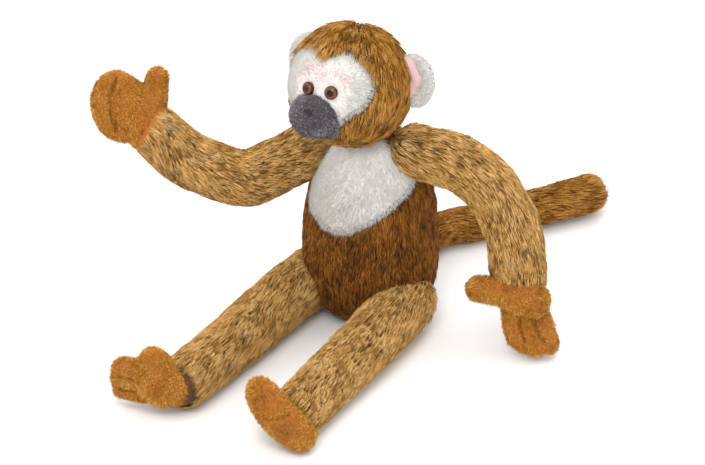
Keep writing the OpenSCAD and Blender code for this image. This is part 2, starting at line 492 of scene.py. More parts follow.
def normals_of(piece: bpy.types.Object) -> Points:
    """Give the normals at a piece's points as an array of rows."""
    flat = np.empty(len(piece.data.vertices) * 3)
    piece.data.vertices.foreach_get("normal", flat)
    return flat.reshape(-1, 3)


def move_points(piece: bpy.types.Object, points: Points) -> None:
    """Give a piece's points new places."""
    piece.data.vertices.foreach_set("co", points.ravel())
    piece.data.update()


def melt(piece: bpy.types.Object, voxel: float, passes: int) -> None:
    """Melt overlapping forms into one skin and smooth it.

    Args:
        piece: The piece.
        voxel: Voxel size of the remesh.
        passes: Rounds of smoothing.
    """
    skin = piece.modifiers.new("skin", "REMESH")
    skin.mode = "VOXEL"
    skin.voxel_size = voxel
    ease = piece.modifiers.new("ease", "SMOOTH")
    ease.iterations = passes
    ease.factor = 0.5
    settle(piece)


def refine(piece: bpy.types.Object) -> None:
    """Subdivide a piece once and shade it smooth."""
    finer = piece.modifiers.new("finer", "SUBSURF")
    finer.levels = 1
    finer.render_levels = 1
    settle(piece)
    piece.data.shade_smooth()


def stuff(piece: bpy.types.Object, swell: float, pressure: float = 4.0) -> None:
    """Blow a padded piece up as cloth under pressure.

    Args:
        piece: The piece, already one even skin.
        swell: The most that a point may move.
        pressure: Pressure inside.
    """
    start = points_of(piece)
    cloth = piece.modifiers.new("stuffing", "CLOTH")
    cloth.settings.use_pressure = True
    cloth.settings.uniform_pressure_force = pressure
    cloth.settings.effector_weights.gravity = 0
    cloth.settings.quality = 4
    cloth.point_cache.frame_start = 1
    cloth.point_cache.frame_end = 20
    for step in range(1, 21):
        bpy.context.scene.frame_set(step)
    seen = piece.evaluated_get(bpy.context.evaluated_depsgraph_get())
    blown = np.empty(len(seen.data.vertices) * 3)
    seen.data.vertices.foreach_get("co", blown)
    piece.modifiers.clear()
    bpy.context.scene.frame_set(1)
    shift = blown.reshape(-1, 3) - start
    far = np.linalg.norm(shift, axis=1, keepdims=True)
    shift *= np.minimum(1.0, swell / np.maximum(far, 1e-9))
    move_points(piece, start + shift)


def press_on_floor(piece: bpy.types.Object, height: float) -> None:
    """Flatten what would reach below a height, as weight does.

    Args:
        piece: The piece.
        height: Lowest height that a point may have.
    """
    points = points_of(piece)
    low = points[:, 2] < height
    points[low, 2] = height + 0.12 * (points[low, 2] - points[low, 2].max()) if low.any() else 0
    points[:, 2] = np.maximum(points[:, 2], height - 0.3 * MM)
    move_points(piece, points)


Stop = tuple[Vector, float]


def glide(stops: Sequence[Stop], step: float) -> list[Stop]:
    """Pass a smooth line with a changing radius through its stops.

    Args:
        stops: Points and radii.
        step: Distance between the results.

    Returns:
        Points and radii along the line.
    """
    rows = np.array([[*point, radius] for point, radius in stops])
    rows = np.vstack([2 * rows[0] - rows[1], rows, 2 * rows[-1] - rows[-2]])
    found: list[Stop] = []
    for before, first, second, after in zip(rows[:-3], rows[1:-2], rows[2:-1], rows[3:]):
        count = max(1, round(np.linalg.norm(second[:3] - first[:3]) / step))
        for t in np.arange(count) / count:
            spot = 0.5 * (
                2 * first + (second - before) * t
                + (2 * before - 5 * first + 4 * second - after) * t * t
                + (3 * first - before - 3 * second + after) * t ** 3
            )
            found.append((Vector(spot[:3]), float(spot[3])))
    found.append((Vector(rows[-2][:3]), float(rows[-2][3])))
    return found


def string_balls(form: bmesh.types.BMesh, line: Sequence[Stop]) -> None:
    """Set balls along a line, to be melted into one form.

    Args:
        form: The bmesh that takes the balls.
        line: Centres and radii.
    """
    for centre, radius in line:
        bmesh.ops.create_uvsphere(
            form, u_segments=20, v_segments=14, radius=radius, matrix=Matrix.Translation(centre)
        )


def distance_to(points: Points, line: Sequence[Vector]) -> np.ndarray:
    """Give each point's distance to a line of straight stretches.

    Args:
        points: Rows of points.
        line: The line's corners.

    Returns:
        Distances in metres.
    """
    nearest = np.full(len(points), np.inf)
    for first, second in zip(line[:-1], line[1:]):
        start, way = np.array(first), np.array(second - first)
        t = np.clip(((points - start) @ way) / max(way @ way, 1e-12), 0, 1)
        nearest = np.minimum(nearest, np.linalg.norm(points - start - t[:, None] * way, axis=1))
    return nearest


@dataclass(frozen=True)
class Crease:
    """A stitched line or a fold, pulled into a padded piece; the pile near it is darkened as painted shade."""

    line: tuple[Vector, ...]
    width: float = 2.0 * MM
    depth: float = 2.5 * MM

    def strength(self, points: Points) -> np.ndarray:
        """Give how much of the crease each point feels, from 0 to 1."""
        return np.exp(-((distance_to(points, self.line) / self.width) ** 2))

    def on(self, piece: bpy.types.Object) -> "Crease":
        """Give the same crease with its line laid on a piece's surface."""
        laid = []
        for first, second in zip(self.line[:-1], self.line[1:]):
            for k in range(5):
                laid.append(piece.closest_point_on_mesh(first.lerp(second, k / 5))[1])
        laid.append(piece.closest_point_on_mesh(self.line[-1])[1])
        return Crease(tuple(Vector(point) for point in laid), self.width, self.depth)

    def pull(self, piece: bpy.types.Object) -> None:
        """Pull the piece's skin in along the line."""
        points = points_of(piece)
        points -= normals_of(piece) * (self.strength(points) * self.depth)[:, None]
        move_points(piece, points)


def hem_ring(pivot: Vector, way: Vector, radius: float) -> Crease:
    """Give the seam that joins a hand or a foot to its sleeve. It pulls nothing in: the pile near it is shortened and
    darkened, a painted shadow line where the sleeve meets the hand or foot.

    Args:
        pivot: Centre of the hem.
        way: The sleeve's direction there.
        radius: Radius of the hem.

    Returns:
        The seam, a circle across the sleeve.
    """
    across = way.orthogonal().normalized()
    other = way.cross(across).normalized()
    turns = [math.radians(angle) for angle in range(0, 361, 15)]
    return Crease(tuple(pivot + (across * math.cos(t) + other * math.sin(t)) * radius for t in turns), 2.2 * MM, 0)


def unit(rows: Points) -> Points:
    """Make each row one long."""
    return rows / np.maximum(np.linalg.norm(rows, axis=1, keepdims=True), 1e-9)


def ripple(points: Points, length: float, seed: int) -> np.ndarray:
    """Give a smooth random field from about -1 to 1.

    Args:
        points: Rows of points.
        length: Typical length of a wave, in metres.
        seed: Seed of the field.

    Returns:
        One number for each point.
    """
    random = np.random.default_rng(seed)
    total = np.zeros(len(points))
    for _ in range(7):
        way = random.normal(size=3)
        way *= random.uniform(0.6, 1.6) * 2 * math.pi / (length * np.linalg.norm(way))
        total += np.sin(points @ way + random.uniform(0, 2 * math.pi))
    return total / 3.2


# ---- pile ----


@dataclass(frozen=True)
class Pile:
    """How one kind of pile stands: its length, thickness and tidiness."""

    length: float
    width: float
    density: float
    rise: float
    untidy: float
    pull: float
    per_clump: int
    dark_share: float = 0.0
    bent: bool = True


LONG_PILE = Pile(10 * MM, 0.5 * MM, 1.14, 0.2, 0.09, 0.3, 9, 0.2)
WHITE_PILE = Pile(5 * MM, 0.48 * MM, 2.7, 0.3, 0.14, 0.2, 9, bent=False)
BOA_PILE = Pile(2.6 * MM, 0.58 * MM, 2.1, 0.65, 0.6, 0.45, 9, 0.15, bent=False)
VELVET_PILE = Pile(2.1 * MM, 0.5 * MM, 2.8, 0.6, 0.6, 0.45, 9, 0.2, bent=False)


def strand_template(bent: bool) -> tuple[Points, np.ndarray]:
    """Model one strand: a spike with three sides, or a bulged one that is pointed at both ends.

    Args:
        bent: Whether the strand has a middle that it can bend at.

    Returns:
        Its points, with the third coordinate running from 0 at the root to 1 at the tip, and its triangles.
    """
    form = bmesh.new()
    depth = 0.55 if bent else 1.0
    bmesh.ops.create_cone(
        form, cap_ends=True, cap_tris=False, segments=3, radius1=0.5, radius2=0.0, depth=depth,
        matrix=Matrix.Translation((0, 0, 1 - depth / 2)),
    )
    bmesh.ops.remove_doubles(form, verts=form.verts, dist=1e-5)
    if bent:
        under = [face for face in form.faces if face.normal.z < -0.9]
        bmesh.ops.poke(form, faces=under, offset=1 - depth)
    form.verts.ensure_lookup_table()
    bmesh.ops.recalc_face_normals(form, faces=form.faces)
    points = np.array([v.co for v in form.verts])
    faces = np.array([[v.index for v in face.verts] for face in form.faces])
    form.free()
    return points, faces


STRANDS = {bent: strand_template(bent) for bent in (True, False)}


def mesh_of_strands(
    name: str, points: Points, one: np.ndarray, marks: dict[str, np.ndarray]
) -> bpy.types.Object:
    """Make one piece of many strands.

    Args:
        name: The piece's name.
        points: Strands by points of a strand by three.
        one: Triangles of one strand.
        marks: Numbers to store on the points, each strands by points of a strand.

    Returns:
        The piece.
    """
    count, each = points.shape[:2]
    faces = (one[None] + (np.arange(count) * each)[:, None, None]).reshape(-1, 3)
    mesh = bpy.data.meshes.new(name)
    mesh.vertices.add(count * each)
    mesh.vertices.foreach_set("co", points.astype(np.float32).ravel())
    mesh.loops.add(faces.size)
    mesh.loops.foreach_set("vertex_index", faces.astype(np.int32).ravel())
    mesh.polygons.add(len(faces))
    mesh.polygons.foreach_set("loop_start", np.arange(len(faces), dtype=np.int32) * 3)
    for key, numbers in marks.items():
        layer = mesh.attributes.new(key, "FLOAT", "POINT")
        layer.data.foreach_set("value", numbers.astype(np.float32).ravel())
    mesh.update(calc_edges=True)
    mesh.shade_smooth()
    piece = bpy.data.objects.new(name, mesh)
    bpy.context.scene.collection.objects.link(piece)
    return piece


@dataclass
class Coat:
    """One coat of pile on one base: where it grows and how it is combed."""

    name: str
    base: bpy.types.Object
    pile: Pile
    comb: Comb
    seed: int
    where: Where = lambda points, normals: np.ones(len(points), bool)
    creases: Sequence[Crease] = ()
    blush: Callable[[Points], np.ndarray] = lambda points: np.zeros(len(points))
    shorten: Callable[[Points], np.ndarray] = lambda points: np.ones(len(points))

    def _roots(self, random: np.random.Generator) -> tuple[Points, Points]:
        """Scatter roots evenly over the base.

        Args:
            random: Source of chance.

        Returns:
            The roots and the normals there.
        """
        mesh = self.base.data
        mesh.calc_loop_triangles()
        corners = np.empty(len(mesh.loop_triangles) * 3, np.int32)
        mesh.loop_triangles.foreach_get("vertices", corners)
        corners = corners.reshape(-1, 3)
        points, normals = points_of(self.base), normals_of(self.base)
        a, b, c = (points[corners[:, k]] for k in range(3))
        area = np.linalg.norm(np.cross(b - a, c - a), axis=1) / 2
        count = int(area.sum() / MM ** 2 * self.pile.density)
        chosen = random.choice(len(corners), count, p=area / area.sum())
        u, v = random.random((2, count))
        over = u + v > 1
        u[over], v[over] = 1 - u[over], 1 - v[over]
        weights = np.stack([1 - u - v, u, v], axis=1)[:, :, None]
        roots = (points[corners[chosen]] * weights).sum(axis=1)
        ups = unit((normals[corners[chosen]] * weights).sum(axis=1))
        kept = self.where(roots, ups)
        return roots[kept], ups[kept]

    def _leaders(self, roots: Points, random: np.random.Generator) -> np.ndarray:
        """Give each strand the nearest of a few leaders, which its clump leans to.

        Args:
            roots: The strands' roots.
            random: Source of chance.

        Returns:
            The leader's number for each strand.
        """
        leaders = random.choice(len(roots), max(1, len(roots) // self.pile.per_clump), replace=False)
        tree = KDTree(len(leaders))
        for number in leaders:
            tree.insert(roots[number], int(number))
        tree.balance()
        return np.array([tree.find(root)[1] for root in roots])

    def grow(self, material: bpy.types.Material, slot: str, attach: Attach) -> int:
        """Grow the coat and fasten it.

        Args:
            material: The strands' material.
            slot: Slot of the record; not used.
            attach: Fastens a piece to its body or bodies.

        Returns:
            The number of strands.
        """
        pile, random = self.pile, np.random.default_rng(self.seed)
        roots, ups = self._roots(random)
        count = len(roots)
        flow = self.comb(roots, ups)
        flow = unit(flow - ups * (flow * ups).sum(axis=1, keepdims=True))
        turn = 0.17 * ripple(roots, 40 * MM, self.seed + 1) + pile.untidy * random.normal(size=count)
        across = np.cross(ups, flow)
        flow = flow * np.cos(turn)[:, None] + across * np.sin(turn)[:, None]
        # Nearness to creases, seams and hems: it shortens the strands here, and the material darkens them as painted
        # shade.
        crease = np.zeros(count)
        for fold in self.creases:
            crease = np.maximum(crease, fold.strength(roots))
        length = pile.length * np.clip(1 + 0.16 * random.normal(size=count), 0.55, 1.5)
        length *= (1 + 0.1 * ripple(roots, 20 * MM, self.seed + 2)) * (1 - 0.7 * crease) * self.shorten(roots)
        rise = pile.rise * np.clip(1 + 0.35 * random.normal(size=count), 0.3, 2.0)
        reach = np.sqrt(np.maximum(0.05, 1 - rise ** 2))
        tips = roots + length[:, None] * (ups * rise[:, None] + flow * reach[:, None])
        bends = roots + length[:, None] * 0.45 * (ups * (0.35 + 0.8 * rise)[:, None] + flow * 0.72)
        leader = self._leaders(roots, random)
        pull = (pile.pull * random.uniform(0.4, 1.4, count))[:, None]
        tips += (tips[leader] - tips) * pull
        bends += (bends[leader] - bends) * pull * 0.4
        buried = roots - ups * np.minimum(0.8 * MM, 0.3 * length)[:, None]
        along = unit(tips - buried)
        side = unit(np.cross(along, ups))
        lift = np.cross(side, along)
        spin = random.uniform(0, 2 * math.pi, count)
        width = pile.width * random.uniform(0.7, 1.3, count)
        template, triangles = STRANDS[pile.bent]
        z = template[:, 2]
        spine = np.where(
            (z < 0.2)[None, :, None], buried[:, None],
            np.where((z > 0.8)[None, :, None], tips[:, None], bends[:, None]),
        )
        x = template[None, :, 0] * np.cos(spin)[:, None] - template[None, :, 1] * np.sin(spin)[:, None]
        y = template[None, :, 0] * np.sin(spin)[:, None] + template[None, :, 1] * np.cos(spin)[:, None]
        shape = spine + (x[..., None] * side[:, None] + y[..., None] * lift[:, None]) * width[:, None, None]
        shape[..., 2] = np.maximum(shape[..., 2], FLOOR_CLEARANCE)
        tone = np.clip(
            0.5 + 0.16 * ripple(roots, 24 * MM, self.seed + 3)
            + 0.6 * (random.random(count)[leader] - 0.5) + 0.6 * (random.random(count) - 0.5), 0, 1
        )
        patch = 0.5 + 0.5 * ripple(roots, 16 * MM, self.seed + 4)
        chance = 0.45 * random.random(count)[leader] + 0.55 * random.random(count)
        dark = (chance < 0.19 + pile.dark_share * patch) * random.uniform(0.5, 1, count)
        each = len(z)
        marks = {
            "along": np.broadcast_to(z, (count, each)),
            "tone": np.repeat(tone[:, None], each, axis=1),
            "dark": np.repeat(dark[:, None], each, axis=1),
            "crease": np.repeat(crease[:, None], each, axis=1),
            "blush": np.repeat(self.blush(roots)[:, None], each, axis=1),
        }
        order = np.argsort(roots[:, 2] + roots[:, 1], kind="stable")
        chunks = np.array_split(order, max(1, math.ceil(count * len(triangles) / TRIANGLES_PER_PIECE)))
        for number, chunk in enumerate(chunks, start=1):
            label = self.name if len(chunks) == 1 else f"{self.name}_{number}"
            piece = mesh_of_strands(label, shape[chunk], triangles, {key: rows[chunk] for key, rows in marks.items()})
            piece.data.materials.append(material)
            attach(piece)
        log.info("%s: %d strands in %d pieces", self.name, count, len(chunks))
        return count


def comb_along(line: Sequence[Stop], nap: int) -> Comb:
    """Comb a pile along a limb.

    Args:
        line: The limb's centre line.
        nap: 1 towards the line's end, -1 towards its start.

    Returns:
        The comb.
    """
    spots = np.array([list(point) for point, _ in line])
    ways = unit(np.gradient(spots, axis=0))

    def comb(points: Points, normals: Points) -> Points:
        """Take the way of the nearest spot of the line, with a little weight."""
        nearest = np.argmin(((points[:, None] - spots[None]) ** 2).sum(axis=2), axis=1)
        return nap * ways[nearest] + np.array([0, 0, -0.25])

    return comb


def comb_down(points: Points, normals: Points) -> Points:
    """Comb a pile straight down."""
    return np.broadcast_to(np.array([0.0, 0.0, -1.0]), points.shape)


def comb_from(centre: Vector, weight: float) -> Comb:
    """Comb a pile away from a point, and a little down.

    Args:
        centre: The point.
        weight: How much of it goes down.

    Returns:
        The comb.
    """

    def comb(points: Points, normals: Points) -> Points:
        """Take the way from the centre."""
        return unit(points - np.array(centre)) + np.array([0, 0, -weight])

    return comb


# ---- limbs ----


@dataclass(frozen=True)
class Waypoint:
    """A stop of a limb's centre line, measured from the limb's own joints."""

    joint: int
    share: float
    shift: tuple[float, float, float]
    radius: float


@dataclass
class Limb:
    """An arm, a leg or the tail: one stuffed tube of long pile, shaped along a line that turns at its middle joint.
    """

    name: str
    joints: tuple[Vector, Vector, Vector]
    bodies: tuple[str, str]
    nodes: tuple[str, ...]
    stops: tuple[Waypoint, ...]
    seed: int
    voxel: float = 3.5 * MM
    swell: float = 1.6 * MM
    bend: float = 20 * MM
    hem: bool = True
    thin: float = 0.9 * MM
    nap: int = 1

    def line(self) -> list[Stop]:
        """Work out the centre line from the joints and the stops."""
        spots: list[Stop] = []
        for stop in self.stops:
            first, second = self.joints[stop.joint], self.joints[stop.joint + 1]
            spot = first.lerp(second, stop.share) + Vector(stop.shift) * MM
            spots.append((spot, stop.radius * MM))
        return glide(spots, 4 * MM)

    def attach(self, piece: bpy.types.Object) -> None:
        """Bake a piece's placement into its mesh; points a bend's length to each side of the middle joint are worked
        out but not used.
        """
        root, middle, end = self.joints
        before = middle + (root - middle).normalized() * self.bend
        after = middle + (end - middle).normalized() * self.bend
        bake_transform(piece)

    def build(self, finishes: Finishes) -> bpy.types.Object:
        """Model the stuffed tube and grow its pile.

        Args:
            finishes: The toy's materials.

        Returns:
            The tube.
        """
        line = self.line()
        form = bmesh.new()
        string_balls(form, [(centre, radius - self.thin) for centre, radius in line])
        tube = place(f"{self.name}_skin", form)
        melt(tube, self.voxel, 6)
        stuff(tube, self.swell)
        refine(tube)
        lowest = min(centre.z - radius for centre, radius in line)
        if lowest < 2 * MM:
            press_on_floor(tube, 1.6 * MM)
        pivot, way = self.joints[2], (self.joints[2] - self.joints[1]).normalized()

        def short_of_hem(points: Points, normals: Points) -> np.ndarray:
            """Keep the pile on the sleeve's side of its hem."""
            return (points - np.array(pivot)) @ np.array(way) < 0.5 * MM

        def near_hem(points: Points) -> np.ndarray:
            """Trim the pile where it meets the hem's seam."""
            away = -(points - np.array(pivot)) @ np.array(way)
            return np.clip(0.85 + away / (60 * MM), 0.85, 1)

        coat = Coat(f"{self.name}_pile", tube, LONG_PILE, comb_along(line, self.nap), self.seed)
        if self.hem:
            coat.where = short_of_hem
            coat.shorten = near_hem
            coat.creases = (hem_ring(pivot, way, 20 * MM),)
        # Arms and legs take the lighter copy of the brown pile, painted light; the tail takes the plain one.
        coat.grow(finishes.painted_light_pile if self.hem else finishes.brown_pile, "brown_fur", self.attach)
        tube.data.materials.append(finishes.brown_backing)
        self.attach(tube)
        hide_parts(*self.nodes)
        log.info("%s: %d points", tube.name, len(tube.data.vertices))
        return tube


def limbs() -> list[Limb]:
    """Describe the two arms, the two legs and the tail."""
    made = []
    stops = {
        "arm_l": (
            Waypoint(0, 0.0, (0, 0, 0), 19.5), Waypoint(0, 0.5, (0, 0, 7), 20.5), Waypoint(0, 0.83, (1, 0, 2), 20.5),
            Waypoint(1, 0.0, (4, 0, -12), 20.5), Waypoint(1, 0.4, (7, 0, -1), 20.5),
            Waypoint(1, 0.7, (4, 0, 0), 21), Waypoint(1, 0.9, (1, 0, 0), 20.5),
        ),
        "arm_r": (
            Waypoint(0, 0.0, (0, 0, 0), 19.5), Waypoint(0, 0.35, (0, 3, -3), 20), Waypoint(0, 0.75, (0, 4, -2), 20.5),
            Waypoint(1, 0.0, (-5, 3, 0), 20.5), Waypoint(1, 0.55, (-1, 0, -7), 20.5),
            Waypoint(1, 0.93, (0, 1, -1), 19.5),
        ),
    }
    for side in Side:
        s = side.value
        made.append(Limb(
            f"arm_{s}", (PIVOTS[f"shoulder_{s}"], PIVOTS[f"elbow_{s}"], PIVOTS[f"wrist_{s}"]),
            (f"upper_arm_{s}", f"forearm_{s}"),
            (f"upper_arm_skin_{s}", f"upper_arm_filling_{s}", f"forearm_skin_{s}", f"forearm_filling_{s}"),
            stops[f"arm_{s}"], 11 + side.sign, nap=side.sign,
        ))
        leg = (
            Waypoint(0, 0.0, (0, 0, 2), 21), Waypoint(0, 0.35, (side.sign * 1, 0, 2), 22),
            Waypoint(0, 0.75, (side.sign * 1, 0, 1), 21.5), Waypoint(1, 0.25, (0, 0, 0), 20.5),
            Waypoint(1, 0.6, (0, 0, 0), 20), Waypoint(1, 0.96, (0, 0, 0), 19.5),
        )
        made.append(Limb(
            f"leg_{s}", (PIVOTS[f"hip_{s}"], PIVOTS[f"knee_{s}"], PIVOTS[f"ankle_{s}"]),
            (f"thigh_{s}", f"shin_{s}"),
            (f"thigh_skin_{s}", f"thigh_filling_{s}", f"shin_skin_{s}", f"shin_filling_{s}"),
            leg, 21 + side.sign,
        ))
    low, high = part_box("tail_tip_skin")
    end = Vector((high[0], high[1], PIVOTS["tail_curl"].z)) - Vector((9 * MM, 9 * MM, 0))
    made.append(Limb(
        "tail", (PIVOTS["tail_root"], PIVOTS["tail_curl"], end), ("tail_base", "tail_tip"),
        ("tail_base_skin", "tail_base_filling", "tail_tip_skin", "tail_tip_filling"),
        (
            Waypoint(0, 0.0, (0, -4, 1), 12), Waypoint(0, 0.6, (-2, 0, 1), 12.5), Waypoint(1, 0.0, (2, 5, 1), 12.5),
            Waypoint(1, 0.3, (0, 2, 1), 13), Waypoint(1, 0.7, (0, 0, 4), 13.5), Waypoint(1, 0.97, (0, 0, 6), 14.5),
        ),
        31, voxel=3 * MM, swell=1.2 * MM, bend=18 * MM, hem=False,
    ))
    return made


# ---- torso ----


def smooth_outline(corners: Sequence[tuple[float, float]], per_side: int = 6) -> Points:
    """Round a closed outline that passes through its corners.

    Args:
        corners: The corners in order.
        per_side: Points on each stretch.

    Returns:
        Rows of points.
    """
    rows = np.array(corners, float)
    found = []
    for k in range(len(rows)):
        p, q, r, s = (rows[(k + d) % len(rows)] for d in (-1, 0, 1, 2))
        for t in np.arange(per_side) / per_side:
            found.append(0.5 * (
                2 * q + (r - p) * t + (2 * p - 5 * q + 4 * r - s) * t * t + (3 * q - p - 3 * r + s) * t ** 3
            ))
    return np.array(found)


def inside(points: Points, outline: Points) -> np.ndarray:
    """Tell which flat points lie inside an outline.

    Args:
        points: Rows of two coordinates.
        outline: Rows of the closed outline.

    Returns:
        True where a point is inside.
    """
    found = np.zeros(len(points), bool)
    for first, second in zip(outline, np.roll(outline, -1, axis=0)):
        crosses = (first[1] > points[:, 1]) != (second[1] > points[:, 1])
        rise = second[1] - first[1]
        rise = rise if abs(rise) > 1e-12 else 1e-12
        found ^= crosses & (points[:, 0] < first[0] + (second[0] - first[0]) * (points[:, 1] - first[1]) / rise)
    return found


def patch_from(name: str, base: bpy.types.Object, chosen: np.ndarray, lift: float, thick: float) -> bpy.types.Object:
    """Cut a patch of cloth to lie on a base.

    Args:
        name: The patch's name.
        base: The piece that it lies on.
        chosen: True for each point of the base that the patch covers.
        lift: How far its outer face stands off the base.
        thick: Its thickness.

    Returns:
        The patch, a closed thin shell.
    """
    form = bmesh.new()
    form.from_mesh(base.data)
    form.verts.ensure_lookup_table()
    outside = [vert for vert in form.verts if not chosen[vert.index]]
    bmesh.ops.delete(form, geom=outside, context="VERTS")
    bmesh.ops.smooth_vert(
        form, verts=[v for v in form.verts if v.is_boundary], factor=0.5, use_axis_x=True, use_axis_y=True,
        use_axis_z=True,
    )
    for vert in form.verts:
        vert.co += vert.normal * lift
    bmesh.ops.solidify(form, geom=form.faces, thickness=thick)
    patch = place(name, form)
    patch.data.shade_smooth()
    return patch


@dataclass
class Torso:
    """The stuffed trunk with its white bib."""

    inset: float = 3.2 * MM
    power: float = 2.8
    middle_share: float = 0.35
    bib_outline: tuple[tuple[float, float], ...] = (
        (-72, 172), (-72, 151), (-70, 122), (-58, 100), (-28, 94), (-2, 92), (28, 104), (58, 118), (86, 130),
        (74, 150), (64, 172),
    )

    def attach(self, piece: bpy.types.Object) -> None:
        """Fasten a piece to the trunk."""
        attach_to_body(piece, "torso")

    def in_bib(self, points: Points, grow: float = 0.0) -> np.ndarray:
        """Tell which points of the trunk the bib covers.

        Args:
            points: Rows of points.
            grow: Degrees by which the test is widened or, if negative, narrowed.

        Returns:
            True where the bib is.
        """
        outline = smooth_outline(self.bib_outline)
        centre = np.array([4.0, 130.0])
        outline = centre + (outline - centre) * (1 + grow / 50)
        turn = np.degrees(np.arctan2(points[:, 0], -points[:, 1]))
        return inside(np.stack([turn, points[:, 2] / MM], axis=1), outline) & (points[:, 1] < 0.01)

    def form(self) -> bmesh.types.BMesh:
        """Spin the trunk's outline, wide at the seat and round at the shoulders."""
        low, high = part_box("body_skin")
        radius = (high[0] - low[0]) / 2 - self.inset
        top = high[2] - self.inset + 3 * MM
        belly = self.middle_share * top
        form = bmesh.new()
        rim = []
        for k in range(19):
            turn = math.pi * (k / 18 - 0.5)
            across = radius * abs(math.cos(turn)) ** (2 / self.power)
            height = math.sin(turn)
            reach = belly if height < 0 else top - belly
            up = belly + reach * math.copysign(abs(height) ** (2 / self.power), height)
            rim.append(form.verts.new((max(across, 1e-6), 0, max(up, 1.5 * MM))))
        for first, second in zip(rim[:-1], rim[1:]):
            form.edges.new((first, second))
        bmesh.ops.spin(
            form, geom=form.verts[:] + form.edges[:], cent=(0, 0, 0), axis=(0, 0, 1), angle=2 * math.pi,
            steps=40, use_merge=True, use_duplicate=False,
        )
        bmesh.ops.remove_doubles(form, verts=form.verts, dist=0.2 * MM)
        bmesh.ops.recalc_face_normals(form, faces=form.faces)
        return form

    def build(self, finishes: Finishes) -> None:
        """Model the trunk and the bib, and grow their pile.

        Args:
            finishes: The toy's materials.
        """
        trunk = place("body_padded", self.form())
        points = points_of(trunk)
        slim = 1 - 0.07 * np.clip((points[:, 2] - 70 * MM) / (80 * MM), 0, 1)
        points[:, :2] *= slim[:, None]
        belly = np.exp(-(((points[:, 2] - 62 * MM) / (34 * MM)) ** 2)) * (points[:, 1] < 0)
        points[:, 1] *= 1 + 0.05 * belly
        move_points(trunk, points)
        melt(trunk, 4 * MM, 3)
        stuff(trunk, 2.2 * MM)
        refine(trunk)
        press_on_floor(trunk, 1.6 * MM)
        bib = patch_from("chest_bib_cloth", trunk, self.in_bib(points_of(trunk), -1.0), 0.2 * MM, 0.7 * MM)

        def outside(roots: Points, ups: Points) -> np.ndarray:
            """Keep brown pile off the bib and off the underside."""
            return ~self.in_bib(roots) & (ups[:, 2] > -0.9)

        tail = np.array(PIVOTS["tail_root"]) + np.array([0, 4, 24]) * MM

        def near_tail(points: Points) -> np.ndarray:
            """Trim the pile where the raised tail lies on the trunk."""
            return np.clip(np.linalg.norm(points - tail, axis=1) / (36 * MM), 0.3, 1)

        # The trunk takes the darker copy of the brown pile: painted shade.
        Coat("body_pile", trunk, LONG_PILE, comb_down, 41, where=outside, shorten=near_tail).grow(
            finishes.painted_shade_pile, "brown_fur", self.attach
        )
        Coat(
            "bib_pile", trunk, WHITE_PILE, comb_down, 42,
            where=lambda roots, ups: self.in_bib(roots, 0.5),
        ).grow(finishes.white_pile, "white_plush", self.attach)
        trunk.data.materials.append(finishes.brown_backing)
        bib.data.materials.append(finishes.white_backing)
        self.attach(trunk)
        self.attach(bib)
        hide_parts("body_skin", "body_filling")
        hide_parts("chest_bib")
        frame["nodes"]["seat_pellet_bag"].data.materials.clear()
        frame["nodes"]["seat_pellet_bag"].data.materials.append(finishes.bead_bag)


# ---- head ----


